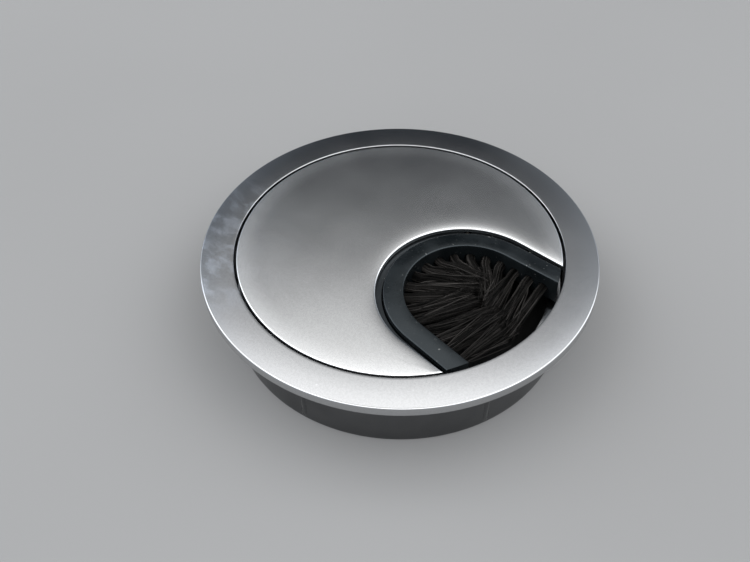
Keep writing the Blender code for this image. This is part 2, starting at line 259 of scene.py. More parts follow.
# Materials. Noise scales are in features per metre, and depths are in metres.
NICKEL_ROUGHNESS = 0.175
RING_NICKEL = (0.515, 0.52, 0.53)
COVER_NICKEL = (0.685, 0.69, 0.695)
COVER_WORN_FROM = 0.032
# Painted shade: the barrel's nickel is darker than the flange's, for the shadowed floor it reflects under
# the flange
BARREL_NICKEL_PAINTED_SHADE = (0.155, 0.158, 0.162)
BARREL_ROUGHNESS = 0.12
BARREL_STAIN = 0.8
WAVE_SCALE = 260.0
WAVE_STRENGTH = 0.4
WAVE_DEPTH = 0.00006
CLOUD_SCALE = 70.0
SPECK_SCALE = 1310.0
SPECK_SHARE = 0.5
BLAST_SCALE = 2730.0
BLAST_SHADE = 0.06
GRAIN_SCALE = 9312.0
GRAIN_STRENGTH = 0.10
GRAIN_DEPTH = 0.000004
MARK_TURNS = (17.0, 74.0)
MARK_SCALES = (130.0, 170.0)
MARK_STRETCH = 42.0
MARK_LIFT = 1.17
MARK_DULLS = 0.02
MARK_DEPTH = 0.15
SMUDGE_PLACE = (-0.0322, -0.0270, 0.0198)
SMUDGE_REACH = (0.028, 0.011)
HAZE_SCALE = 150.0
# The finger haze is real dulling, and its bluish tint is a painted reflection of the blue side light
HAZE_PAINTED_BLUE_REFLECTION = (0.64, 0.69, 0.78)
HAZE_SHARE = 0.40
HAZE_DULLS = 0.06
COVER_HAZE = 0.12
WORN_LIFT = 1.12
WORN_DULLS = 0.05
DUST_COLOUR = (0.4, 0.4, 0.38)
DUST_SHARE = 0.2
SPARK_SCALE = 3800.0
SPARK_STRENGTH = 0.35
SPARK_DEPTH = 0.00003
CARRIER_BLACK, CARRIER_ROUGHNESS = (0.004, 0.0045, 0.005), 0.38
BLOCK_BLACK, BLOCK_ROUGHNESS = (0.0026, 0.0035, 0.0040), 0.25
PLASTIC_SPECULAR = 0.41
PLASTIC_TINT = (0.88, 1.0, 1.08, 1.0)
# The bristles' tone runs from dark to pale: partly random, partly painted sheen in place of the nylon's
# highlights
NYLON_DARK = (0.0006, 0.0006, 0.0005)
NYLON_PALE_SHEEN = (0.056, 0.052, 0.049)
NYLON_SPECULAR = 0.05
ZINC = (0.58, 0.57, 0.55)
ZINC_STAIN = (0.48, 0.46, 0.40)
FLOOR_DARKER = (0.208, 0.208, 0.208)
FLOOR_PALER = (0.216, 0.216, 0.216)
# Painted shade: the floor inside the barrel is made dark for the shaded hole beneath the grommet
HOLE_PAINTED_SHADE = (0.012, 0.012, 0.012)


# ---------------- camera, lights, floor

def studio(x, y, z):
    """A studio place, in metres, in the object's frame."""
    return Matrix.Rotation(HEADING, 3, "Z") @ Vector((x, y, z))


def add_camera():
    """The photograph's view, from the camera's place, pitch, yaw and roll."""
    yaw, pitch, roll = (math.radians(a) for a in (CAMERA_YAW, CAMERA_PITCH, CAMERA_ROLL))
    ahead = studio(math.sin(yaw) * math.cos(pitch), math.cos(yaw) * math.cos(pitch), -math.sin(pitch))
    right = ahead.cross(Vector((0, 0, 1))).normalized()
    up = right.cross(ahead)
    level_right = math.cos(roll) * right + math.sin(roll) * up
    level_up = math.cos(roll) * up - math.sin(roll) * right
    data = bpy.data.cameras.new("camera")
    data.lens = CAMERA_LENS
    data.sensor_width = SENSOR_WIDTH
    data.clip_start = CAMERA_CLIP
    camera = bpy.data.objects.new("camera", data)
    axes = Matrix((level_right, level_up, -ahead)).transposed()
    place = studio(0, -CAMERA_REACH * MM, CAMERA_HEIGHT * MM)
    camera.matrix_world = Matrix.Translation(place) @ axes.to_4x4()
    bpy.context.scene.collection.objects.link(camera)
    bpy.context.scene.camera = camera


class Sky:
    """Short ways to build the studio's light from the direction it comes from."""

    def __init__(self):
        world = bpy.data.worlds.new("studio")
        bpy.context.scene.world = world
        world.use_nodes = True
        self.tree = world.node_tree
        self.tree.nodes.clear()
        place = self.tree.nodes.new("ShaderNodeTexCoord")
        heading = self.tree.nodes.new("ShaderNodeVectorRotate")
        heading.rotation_type = "Z_AXIS"
        heading.inputs["Angle"].default_value = -HEADING
        split = self.tree.nodes.new("ShaderNodeSeparateXYZ")
        self.tree.links.new(place.outputs["Generated"], heading.inputs["Vector"])
        self.tree.links.new(heading.outputs[0], split.inputs[0])
        self.across, self.ahead, self.up = split.outputs

    def math(self, operation, first, second):
        """A sum or product, say, of two levels. Each is a number or a socket."""
        node = self.tree.nodes.new("ShaderNodeMath")
        node.operation = operation
        for socket, value in zip(node.inputs, (first, second)):
            if isinstance(value, (int, float)):
                socket.default_value = value
            else:
                self.tree.links.new(value, socket)
        return node.outputs[0]

    def span(self, source, low, high, to_low=0.0, to_high=1.0, curve="SMOOTHSTEP"):
        """Maps low..high to to_low..to_high, clamped; low may be above high."""
        node = self.tree.nodes.new("ShaderNodeMapRange")
        node.interpolation_type = curve
        for key, value in (("From Min", low), ("From Max", high), ("To Min", to_low), ("To Max", to_high)):
            node.inputs[key].default_value = value
        self.tree.links.new(source, node.inputs["Value"])
        return node.outputs["Result"]

    def tint(self, level, colour):
        """A colour times a level."""
        node = self.tree.nodes.new("ShaderNodeVectorMath")
        node.operation = "SCALE"
        node.inputs[0].default_value = colour
        self.tree.links.new(level, node.inputs["Scale"])
        return node.outputs[0]

    def times(self, *levels):
        """The product of two levels or more."""
        product = levels[0]
        for level in levels[1:]:
            product = self.math("MULTIPLY", product, level)
        return product

    def add(self, first, second):
        """The sum of two colours."""
        node = self.tree.nodes.new("ShaderNodeVectorMath")
        self.tree.links.new(first, node.inputs[0])
        self.tree.links.new(second, node.inputs[1])
        return node.outputs[0]

    def shine(self, colour):
        """Makes the colour the world's light."""
        glow = self.tree.nodes.new("ShaderNodeBackground")
        out = self.tree.nodes.new("ShaderNodeOutputWorld")
        self.tree.links.new(colour, glow.inputs["Color"])
        self.tree.links.new(glow.outputs[0], out.inputs["Surface"])


def add_world():
    """A soft studio: a softbox overhead, a pale wall and side panels, two windows and a band behind."""
    sky = Sky()
    height = sky.math("MAXIMUM", sky.up, HORIZON)
    u = sky.math("DIVIDE", sky.across, height)
    v = sky.math("DIVIDE", sky.ahead, height)
    left, right = BOX_SIDES
    inside = sky.times(sky.span(v, BOX_FAR + BOX_FAR_SOFT, BOX_FAR - BOX_FAR_SOFT),
                       sky.span(u, left - BOX_SIDE_SOFT, left + BOX_SIDE_SOFT),
                       sky.span(u, right + BOX_SIDE_SOFT, right - BOX_SIDE_SOFT),
                       sky.span(v, BOX_BACK - BOX_FAR_SOFT, BOX_BACK + BOX_FAR_SOFT),
                       sky.span(sky.up, *BOX_UP))
    outside = sky.math("SUBTRACT", 1.0, inside)
    box = sky.span(v, BOX_FAR, BOX_FAR - BOX_RISE_END,
                   BOX_GLOW, BOX_GLOW * (1 + BOX_RISE * BOX_RISE_END), "LINEAR")
    box = sky.times(box, sky.span(v, *OVERHEAD_AHEAD, 1.0, OVERHEAD_SHARE))
    low = sky.span(sky.up, *LOW_UP, LOW_GLOW, MID_GLOW, "LINEAR")
    high = sky.span(sky.up, *HIGH_UP, 0.0, HIGH_GLOW - MID_GLOW, "LINEAR")
    wall_end = WALL_EDGE - WALL_RAMP * WALL_GLOW / WALL_RISE
    wall = sky.times(sky.span(sky.ahead, WALL_EDGE, wall_end, 0.0, WALL_GLOW, "LINEAR"),
                     sky.span(sky.ahead, *BACK_AHEAD, 1.0, BACK_SHARE))
    panel_end = PANEL_EDGE + PANEL_SOFT
    panel_left = sky.span(sky.across, -PANEL_EDGE, -panel_end, 0.0, LEFT_GLOW, "LINEAR")
    panel_right = sky.span(sky.across, PANEL_EDGE, panel_end, 0.0, RIGHT_GLOW, "LINEAR")
    window_end = WINDOW_EDGE + WINDOW_SOFT
    windows = sky.math("ADD", sky.span(sky.across, -WINDOW_EDGE, -window_end, 0.0, WINDOW_LEFT_GLOW),
                       sky.span(sky.across, WINDOW_EDGE, window_end, 0.0, WINDOW_RIGHT_GLOW))
    windows = sky.times(windows, sky.span(sky.up, *WINDOW_UP), sky.span(sky.ahead, *WINDOW_AHEAD))
    band = sky.times(sky.span(sky.ahead, *BAND_AHEAD, 0.0, BAND_GLOW),
                     sky.span(sky.up, *BAND_FOOT), sky.span(sky.up, *BAND_TOP))
    light = sky.add(sky.tint(sky.times(inside, box), BOX_TINT), sky.tint(band, BAND_TINT))
    for level, colour in ((low, LOW_TINT), (high, HIGH_TINT), (wall, WALL_TINT), (windows, WINDOW_TINT),
                          (panel_left, LEFT_TINT), (panel_right, RIGHT_TINT)):
        light = sky.add(light, sky.tint(sky.times(outside, level), colour))
    sky.shine(light)


def add_floor():
    """A plain pale floor, a hair under the barrel's rim."""
    bm = bmesh.new()
    bmesh.ops.create_grid(bm, x_segments=1, y_segments=1, size=FLOOR_HALF)
    mesh = bpy.data.meshes.new("floor")
    bm.to_mesh(mesh)
    bm.free()
    floor = bpy.data.objects.new("floor", mesh)
    floor.location.z = RING_LOW.z * MM - FLOOR_DROP
    bpy.context.scene.collection.objects.link(floor)
    mesh.materials.append(floor_material())


# ---------------- materials

class Recipe:
    """A node material in the making: a Principled BSDF and short ways to add nodes to it."""

    def __init__(self, name):
        self.material = bpy.data.materials.new(name)
        self.material.use_nodes = True
        self.tree = self.material.node_tree
        self.shader = self.tree.nodes["Principled BSDF"]
        self.place = self.add("ShaderNodeTexCoord").outputs["Object"]

    def add(self, kind, **settings):
        """A new node with these settings."""
        node = self.tree.nodes.new(kind)
        for key, value in settings.items():
            setattr(node, key, value)
        return node

    def link(self, source, target):
        self.tree.links.new(source, target)

    def set(self, **values):
        """Sets sockets of the shader that are the same all over, with _ for a space in their names."""
        for key, value in values.items():
            self.shader.inputs[key.replace("_", " ")].default_value = value

    def noise(self, scale, detail=2.0, roughness=0.5, stretch=None, turn=0.0):
        """A noise value from 0 to 1. scale is in features per metre; stretch is per axis."""
        node = self.add("ShaderNodeTexNoise")
        node.inputs["Scale"].default_value = scale
        node.inputs["Detail"].default_value = detail
        node.inputs["Roughness"].default_value = roughness
        source = self.place
        if stretch:
            mapping = self.add("ShaderNodeMapping")
            mapping.inputs["Scale"].default_value = stretch
            mapping.inputs["Rotation"].default_value = (0.0, 0.0, math.radians(turn))
            self.link(source, mapping.inputs["Vector"])
            source = mapping.outputs[0]
        self.link(source, node.inputs["Vector"])
        return node.outputs["Fac"]

    def span(self, source, low, high, to_low=0.0, to_high=1.0):
        """Maps low..high to to_low..to_high, clamped."""
        node = self.add("ShaderNodeMapRange")
        node.interpolation_type = "SMOOTHSTEP"
        for key, value in (("From Min", low), ("From Max", high), ("To Min", to_low), ("To Max", to_high)):
            node.inputs[key].default_value = value
        self.link(source, node.inputs["Value"])
        return node.outputs["Result"]

    def math(self, operation, first, second):
        """A sum or product, say, of two values. Each is a number or a socket."""
        node = self.add("ShaderNodeMath", operation=operation)
        for socket, value in zip(node.inputs, (first, second)):
            if isinstance(value, (int, float)):
                socket.default_value = value
            else:
                self.link(value, socket)
        return node.outputs[0]

    def mix(self, factor, first, second):
        """A colour between first and second. Each is a colour or a socket."""
        node = self.add("ShaderNodeMix", data_type="RGBA")
        colours = [s for s in node.inputs if s.type == "RGBA"]
        self.link(factor, node.inputs[0])
        for socket, value in zip(colours, (first, second)):
            if isinstance(value, tuple):
                socket.default_value = (*value, 1.0)
            else:
                self.link(value, socket)
        return next(s for s in node.outputs if s.type == "RGBA")

    def reach(self):
        """The distance from the grommet's axis, in metres."""
        flat = self.add("ShaderNodeVectorMath", operation="MULTIPLY")
        self.link(self.place, flat.inputs[0])
        flat.inputs[1].default_value = (1.0, 1.0, 0.0)
        length = self.add("ShaderNodeVectorMath", operation="LENGTH")
        self.link(flat.outputs[0], length.inputs[0])
        return length.outputs["Value"]

    def bump(self, height, strength, distance):
        """A normal from a height value; distance is in metres."""
        node = self.add("ShaderNodeBump")
        node.inputs["Strength"].default_value = strength
        node.inputs["Distance"].default_value = distance
        self.link(height, node.inputs["Height"])
        self.link(node.outputs[0], self.shader.inputs["Normal"])

    def drive(self, socket, source):
        """Links a value or colour to a socket of the shader."""
        self.link(source, self.shader.inputs[socket])


def scaled(colour, factor, lift=0.0):
    """A colour times a factor, plus a lift, at most white."""
    return tuple(min(1.0, c * factor + lift) for c in colour)


def scratches(recipe, turn, scale):
    """Sparse hairline marks that run one way: 1 on a mark, 0 elsewhere."""
    line = recipe.noise(scale, detail=1.0, stretch=(1.0, MARK_STRETCH, 1.0), turn=turn)
    patch = recipe.noise(scale * 2.6, detail=0.0)
    return recipe.math("MULTIPLY", recipe.span(line, 0.74, 0.78), recipe.span(patch, 0.66, 0.74))


def smudge(recipe):
    """Cloudy finger haze on one side of the flange, tinted with a painted bluish reflection: 1 in the
    haze, 0 where the plate is clean.
    """
    aside = recipe.add("ShaderNodeVectorMath", operation="DISTANCE")
    recipe.link(recipe.place, aside.inputs[0])
    aside.inputs[1].default_value = SMUDGE_PLACE
    near = recipe.span(aside.outputs["Value"], *SMUDGE_REACH)
    cloud = recipe.noise(HAZE_SCALE, detail=4.0, roughness=0.55, stretch=(1.0, 1.7, 1.0), turn=-35.0)
    return recipe.math("MULTIPLY", near, recipe.span(cloud, 0.43, 0.63))


def satin_metal(name, colour, roughness, hazy, worn_rim=None):
    """Satin nickel plate: fine blasted grain, faint clouds, finger haze tinted with a painted bluish
    reflection, specks and hairline marks.

    hazy is how strong the finger haze is, from 0 to 1. worn_rim is the radius, in metres, from which
    the plate is a little brighter and duller.
    """
    recipe = Recipe(name)
    recipe.set(Metallic=1.0)
    cloud = recipe.noise(CLOUD_SCALE, detail=3.0)
    marks = recipe.math("MAXIMUM", *(scratches(recipe, turn, scale)
                                     for turn, scale in zip(MARK_TURNS, MARK_SCALES)))
    specks = recipe.span(recipe.noise(SPECK_SCALE, detail=0.0), 0.83, 0.86)
    haze = recipe.math("MULTIPLY", smudge(recipe), hazy)
    tone = recipe.mix(recipe.span(cloud, 0.3, 0.7), scaled(colour, 0.97), colour)
    # The haze mixes a painted bluish reflection into the plate's colour
    tone = recipe.mix(recipe.math("MULTIPLY", haze, HAZE_SHARE), tone, HAZE_PAINTED_BLUE_REFLECTION)
    dull = recipe.span(cloud, 0.25, 0.75, roughness - 0.01, roughness + 0.015)
    dull = recipe.math("ADD", dull, recipe.math("MULTIPLY", haze, HAZE_DULLS))
    if worn_rim:
        worn = recipe.span(recipe.reach(), worn_rim, COVER_RADIUS * MM)
        tone = recipe.mix(worn, tone, scaled(colour, WORN_LIFT))
        dull = recipe.math("ADD", dull, recipe.math("MULTIPLY", worn, WORN_DULLS))
    blasted = recipe.span(recipe.noise(BLAST_SCALE, detail=2.0), 0.35, 0.65, 0.0, BLAST_SHADE)
    tone = recipe.mix(blasted, tone, (0.0, 0.0, 0.0))
    bright = recipe.math("MAXIMUM", marks, recipe.math("MULTIPLY", specks, SPECK_SHARE))
    recipe.drive("Base Color", recipe.mix(bright, tone, scaled(colour, MARK_LIFT)))
    recipe.drive("Roughness", recipe.math("ADD", dull, recipe.math("MULTIPLY", marks, MARK_DULLS)))
    grain = recipe.noise(GRAIN_SCALE, detail=1.0)
    relief = recipe.math("SUBTRACT", grain, recipe.math("MULTIPLY", marks, MARK_DEPTH))
    recipe.bump(relief, GRAIN_STRENGTH, GRAIN_DEPTH)
    return recipe.material


def bright_metal(name, colour, roughness):
    """The barrel's smoother plate, with shallow casting waves."""
    recipe = Recipe(name)
    recipe.set(Metallic=1.0)
    wave = recipe.noise(WAVE_SCALE, detail=2.0)
    stain = recipe.noise(90.0, detail=4.0)
    stained = recipe.mix(recipe.span(stain, 0.35, 0.75), colour, scaled(colour, BARREL_STAIN))
    recipe.drive("Base Color", stained)
    recipe.drive("Roughness", recipe.span(stain, 0.3, 0.8, roughness, roughness + 0.12))
    recipe.bump(wave, WAVE_STRENGTH, WAVE_DEPTH)
    return recipe.material


def black_plastic(name, colour, roughness):
    """Moulded black plastic with a fine spark grain, dull patches and specks of dust."""
    recipe = Recipe(name)
    recipe.set(Specular_IOR_Level=PLASTIC_SPECULAR, Specular_Tint=PLASTIC_TINT)
    grain = recipe.noise(SPARK_SCALE, detail=3.0, roughness=0.6)
    patch = recipe.noise(160.0, detail=3.0)
    dust = recipe.span(recipe.noise(1500.0, detail=1.0), 0.72, 0.78)
    haze = recipe.mix(recipe.span(patch, 0.35, 0.7), colour, scaled(colour, 1.3, 0.001))
    recipe.drive("Base Color", recipe.mix(recipe.math("MULTIPLY", dust, DUST_SHARE), haze, DUST_COLOUR))
    recipe.drive("Roughness", recipe.span(patch, 0.3, 0.75, roughness - 0.05, roughness + 0.1))
    recipe.bump(grain, SPARK_STRENGTH, SPARK_DEPTH)
    return recipe.material


def bristle_material():
    """Dark grey-brown nylon. Each bristle has its own tone, held in the mesh, partly random and partly
    painted sheen.
    """
    recipe = Recipe("bristle_nylon")
    recipe.set(Specular_IOR_Level=NYLON_SPECULAR)
    shade = recipe.add("ShaderNodeAttribute", attribute_name="bristle_tone_and_sheen").outputs["Fac"]
    recipe.drive("Base Color", recipe.mix(recipe.math("POWER", shade, 1.7), NYLON_DARK, NYLON_PALE_SHEEN))
    recipe.drive("Roughness", recipe.span(recipe.noise(900.0), 0.3, 0.7, 0.34, 0.5))
    return recipe.material


def screw_material():
    """Zinc-plated steel with faint yellow stains."""
    recipe = Recipe("zinc_plated_steel")
    recipe.set(Metallic=1.0)
    stain = recipe.noise(1400.0, detail=3.0)
    recipe.drive("Base Color", recipe.mix(recipe.span(stain, 0.35, 0.7), ZINC, ZINC_STAIN))
    recipe.drive("Roughness", recipe.span(stain, 0.3, 0.7, 0.28, 0.42))
    recipe.bump(recipe.noise(4000.0), 0.2, 0.00001)
    return recipe.material


def floor_material():
    """Pale and matt, and dark inside the barrel: painted shade for the hole in the desk beneath."""
    recipe = Recipe("pale_floor")
    recipe.set(Roughness=0.75, Specular_IOR_Level=0.2)
    cloud = recipe.noise(6.0, detail=2.0)
    pale = recipe.mix(recipe.span(cloud, 0.3, 0.7), FLOOR_DARKER, FLOOR_PALER)
    # Painted shade: the floor darkens within the barrel's bore
    hole = recipe.span(recipe.reach(), (BORE_RADIUS - 0.2) * MM, (BORE_RADIUS - 1.0) * MM)
    recipe.drive("Base Color", recipe.mix(hole, pale, HOLE_PAINTED_SHADE))
    return recipe.material


# ---------------- mesh tools

def add_piece(name, bm, materials, smooth_angle=SHARP_ANGLE):
    """Turns a bmesh in millimetres into an object in metres."""
    bmesh.ops.scale(bm, vec=(MM, MM, MM), verts=bm.verts)
    bmesh.ops.recalc_face_normals(bm, faces=bm.faces)
    mesh = bpy.data.meshes.new(name)
    bm.to_mesh(mesh)
    bm.free()
    for material in materials:
        mesh.materials.append(material)
    mesh.shade_smooth()
    mesh.set_sharp_from_angle(angle=math.radians(smooth_angle))
    piece = bpy.data.objects.new(name, mesh)
    bpy.context.scene.collection.objects.link(piece)
    return piece


def stand_for(piece, node, body):
    """The piece takes a CAD node's place, on its body."""
    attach(piece, body)
    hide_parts(node)


def carve(piece, tool, operation, split=False):
    """A Boolean with a passing tool, applied at once; vertices that it leaves on one spot are joined.

    With split, its large faces become triangles first, so that the joining can't fold them.
    """
    modifier = piece.modifiers.new("carve", "BOOLEAN")
    modifier.operation = operation
    modifier.solver = "EXACT"
    modifier.object = tool
    graph = bpy.context.evaluated_depsgraph_get()
    mesh = bpy.data.meshes.new_from_object(piece.evaluated_get(graph))
    bm = bmesh.new()
    bm.from_mesh(mesh)
    if split:
        large = [face for face in bm.faces if len(face.verts) > 4]
        bmesh.ops.triangulate(bm, faces=large, ngon_method="EAR_CLIP")
    bmesh.ops.remove_doubles(bm, verts=bm.verts, dist=ONE_SPOT)
    bm.to_mesh(mesh)
    bm.free()
    mesh.set_sharp_from_angle(angle=math.radians(SHARP_ANGLE))
    piece.modifiers.clear()
    piece.data = mesh
    bpy.data.objects.remove(tool, do_unlink=True)


def arc(centre_r, centre_z, radius, start, end, steps):
    """Points on an arc in a profile; angles in degrees from outward (+r), turning up."""
    angles = [math.radians(start + (end - start) * k / steps) for k in range(steps + 1)]
    return [(centre_r + radius * math.cos(a), centre_z + radius * math.sin(a)) for a in angles]


def turn(bm, profile, angles, closed):
    """Revolves (radius, z) points about Z at the given angles; a closed profile gives a hollow ring."""
    rings = []
    for radius, z in profile:
        if radius < TINY:
            rings.append([bm.verts.new((0.0, 0.0, z))])
        else:
            rings.append([bm.verts.new((radius * math.cos(a), radius * math.sin(a), z)) for a in angles])
    pairs = list(zip(rings, rings[1:]))
    if closed:
        pairs.append((rings[-1], rings[0]))
    for lower, upper in pairs:
        for k in range(len(angles)):
            n = (k + 1) % len(angles)
            corners = []
            # A point on the axis has one vertex, so a face beside it is a triangle
            for vert in (lower[k % len(lower)], lower[n % len(lower)],
                         upper[n % len(upper)], upper[k % len(upper)]):
                if vert not in corners:
                    corners.append(vert)
            bm.faces.new(corners)
    return rings


def even_angles(count):
    """A full turn in equal steps, in radians."""
    return [math.tau * k / count for k in range(count)]


def add_cylinder(bm, x, y, radius, z_low, z_high, facets=32):
    """An upright cylinder between two heights."""
    place = Matrix.Translation((x, y, (z_low + z_high) / 2))
    bmesh.ops.create_cone(bm, cap_ends=True, segments=facets, radius1=radius, radius2=radius,
                          depth=z_high - z_low, matrix=place)


def cut_path(centre_x, radius, flare, end_radius, facets=96):
    """The U-shaped path round the cable cut: an arc about (centre_x, 0) and two arms that open by flare.

    Where the end radius is met before the arms begin, the arc ends there and the arms fall away.
    """
    flare = math.radians(flare)
    start_x = centre_x - radius * math.sin(flare)
    start_y = radius * math.cos(flare)
    if math.hypot(start_x, start_y) > end_radius:
        sweep = math.acos((centre_x**2 + radius**2 - end_radius**2) / (2 * centre_x * radius))
        half = facets // 2 + 4
        return [(centre_x - radius * math.cos(sweep * k / half), radius * math.sin(sweep * k / half))
                for k in range(-half, half + 1)]
    along = start_x * math.cos(flare) + start_y * math.sin(flare)
    reach = -along + math.sqrt(along**2 + end_radius**2 - start_x**2 - start_y**2)
    arm = [(start_x + reach * t * math.cos(flare), start_y + reach * t * math.sin(flare))
           for t in (0.25, 0.5, 0.75, 1.0)]
    sweep = math.pi / 2 - flare
    points = [(x, -y) for x, y in reversed(arm)]
    for k in range(facets + 1):
        angle = -sweep + 2 * sweep * k / facets
        points.append((centre_x - radius * math.cos(angle), radius * math.sin(angle)))
    return points + arm


def loft(bm, rails, closed):
    """Skins rails of equal length, one after another."""
    count = len(rails[0])
    for rail, following in zip(rails, rails[1:]):
        for k in range(count if closed else count - 1):
            n = (k + 1) % count
            bm.faces.new((rail[k], rail[n], following[n], following[k]))


# ---------------- outer ring

def ring_profile():
    """The ring's section, from the lip down the inside, round the barrel and back over the flange."""
    crown_start = LIP_RADIUS + LIP_ROUND
    crown_end = FLANGE_RADIUS - FLANGE_ROLL * ROLL_REACH
    section = arc(LIP_RADIUS + LIP_ROUND, RING_TOP - LIP_ROUND, LIP_ROUND, 90, 180, 6)
    section += [(LIP_RADIUS, RING_TOP - LIP_DEPTH), (LIP_RADIUS, LEDGE_TOP + FILLET + GUARD)]
    section += arc(LIP_RADIUS - FILLET, LEDGE_TOP + FILLET, FILLET, 0, -90, 4)
    section += arc(LEDGE_RADIUS + LEDGE_NOSE, LEDGE_TOP - LEDGE_NOSE, LEDGE_NOSE, 90, 180, 5)
    section += arc(LEDGE_RADIUS + LEDGE_NOSE, LEDGE_BOTTOM + LEDGE_NOSE, LEDGE_NOSE, 180, 270, 5)
    section += [(BORE_RADIUS - FILLET - GUARD, LEDGE_BOTTOM)]
    section += arc(BORE_RADIUS - FILLET, LEDGE_BOTTOM - FILLET, FILLET, 90, 0, 3)
    section += [(BORE_RADIUS, FILLET)]
    section += arc(BORE_RADIUS + EDGE_ROUND, EDGE_ROUND, EDGE_ROUND, 180, 270, 3)
    section += arc(BARREL_RADIUS - FILLET, FILLET, FILLET, 270, 360, 4)
    for z in (CRUSH_RIB_BOTTOM, CRUSH_RIB_BOTTOM + CRUSH_RIB_RUNOUT,
              CRUSH_RIB_TOP - CRUSH_RIB_RUNOUT, CRUSH_RIB_TOP):
        section.append((BARREL_RADIUS, z))
    section += arc(BARREL_RADIUS + CREASE_FILLET, FLANGE_SEAT - CREASE_FILLET, CREASE_FILLET, 180, 90, 4)
    section += arc(FLANGE_RADIUS - EDGE_ROUND, FLANGE_SEAT + EDGE_ROUND, EDGE_ROUND, 270, 360, 4)
    section += arc(FLANGE_RADIUS - FLANGE_ROLL, RING_TOP - FLANGE_CROWN - FLANGE_ROLL, FLANGE_ROLL,
                   0, ROLL_SWEEP, 9)
    for k in range(CROWN_STEPS):
        t = 1 - k / CROWN_STEPS
        r = crown_start + (crown_end - crown_start) * t
        section.append((r, RING_TOP - FLANGE_CROWN * t**CROWN_POWER))
    return section


def rib_angles():
    """Even steps round the ring, with closer steps across each crush rib."""
    angles = set(round(a, 6) for a in even_angles(RING_STEPS))
    half = CRUSH_RIB_RADIUS / BARREL_RADIUS
    for k in range(CRUSH_RIBS):
        centre = math.radians(CRUSH_RIB_PHASE) + math.tau * k / CRUSH_RIBS
        angles = {a for a in angles if abs((a - centre + math.pi) % math.tau - math.pi) > half * 1.6}
        angles |= {round((centre + half * step / 4) % math.tau, 6) for step in range(-6, 7)}
    return sorted(angles)


def rib_height(angle, z):
    """How far a crush rib stands out of the barrel at a place."""
    for k in range(CRUSH_RIBS):
        centre = math.radians(CRUSH_RIB_PHASE) + math.tau * k / CRUSH_RIBS
        across = ((angle - centre + math.pi) % math.tau - math.pi) * BARREL_RADIUS
        if abs(across) < CRUSH_RIB_RADIUS and CRUSH_RIB_BOTTOM < z < CRUSH_RIB_TOP:
            return max(0.0, math.sqrt(CRUSH_RIB_RADIUS**2 - across**2) - CRUSH_RIB_INSET)
    return 0.0


def build_outer_ring(top_metal, barrel_shaded_metal):
    """One casting: satin flange and ledge, and a glossier barrel with its crush ribs whose darker plate is
    painted shade.
    """
    bm = bmesh.new()
    angles = rib_angles()
    profile = ring_profile()
    rings = turn(bm, profile, angles, closed=True)
    for (radius, z), ring in zip(profile, rings):
        if abs(radius - BARREL_RADIUS) < TINY:
            for angle, vert in zip(angles, ring):
                out = radius + rib_height(angle, z)
                vert.co.x = out * math.cos(angle)
                vert.co.y = out * math.sin(angle)
    for face in bm.faces:
        centre = face.calc_center_median()
        reach = math.hypot(centre.x, centre.y)
        on_top = centre.z > FLANGE_SEAT + 0.5 and reach > LIP_RADIUS - 0.05
        on_ledge = centre.z > LEDGE_TOP - 0.3 and reach < LIP_RADIUS + 0.05
        face.material_index = 0 if on_top or on_ledge else 1
    ring = add_piece("ring_casting", bm, (top_metal, barrel_shaded_metal), smooth_angle=40.0)
    stand_for(ring, "outer_ring", "ring")


# ---------------- cover plate

def notched_outline(path, radius, facets=240):
    """The path round the cable cut, then the plate's rim back to its start."""
    first = math.atan2(path[-1][1], path[-1][0])
    sweep = math.tau - 2 * first
    rim = [first + sweep * k / facets for k in range(1, facets)]
    return list(path) + [(radius * math.cos(a), radius * math.sin(a)) for a in rim]


def rolled_edge(fillet, slope, reach, steps, spread):
    """A sheared edge's rollover as (inset, drop) pairs: a tight fillet, then a long gentle fall.

    The fall starts at slope degrees where the fillet ends and dies away over the reach.
    """
    slope = math.radians(slope)
    fall = math.tan(slope) * reach
    turned = math.pi / 2 - slope
    end_inset = fillet * (1 - math.cos(turned))
    centre_drop = fall + fillet * math.sin(turned)
    pairs = []
    for k in range(steps + 1):
        angle = turned * k / steps
        pairs.append((fillet * (1 - math.cos(angle)), centre_drop - fillet * math.sin(angle)))
    for beyond in spread:
        pairs.append((end_inset + beyond, fall * math.exp(-beyond / reach)))
    return pairs


def cut_distance(x, y):
    """How far a point of the plate is from the cable cut's wall."""
    flare = math.radians(COVER_CUT_FLARE)
    if (x - COVER_CUT_X) * math.cos(flare) + abs(y) * math.sin(flare) < 0:
        return math.hypot(x - COVER_CUT_X, y) - COVER_CUT_RADIUS
    return abs(y) * math.cos(flare) - (x - COVER_CUT_X) * math.sin(flare) - COVER_CUT_RADIUS


def gentle_fall(distance, slope, reach):
    """How far the plate's top has fallen at a distance from an edge."""
    return math.tan(math.radians(slope)) * reach * math.exp(-max(distance, 0.0) / reach)


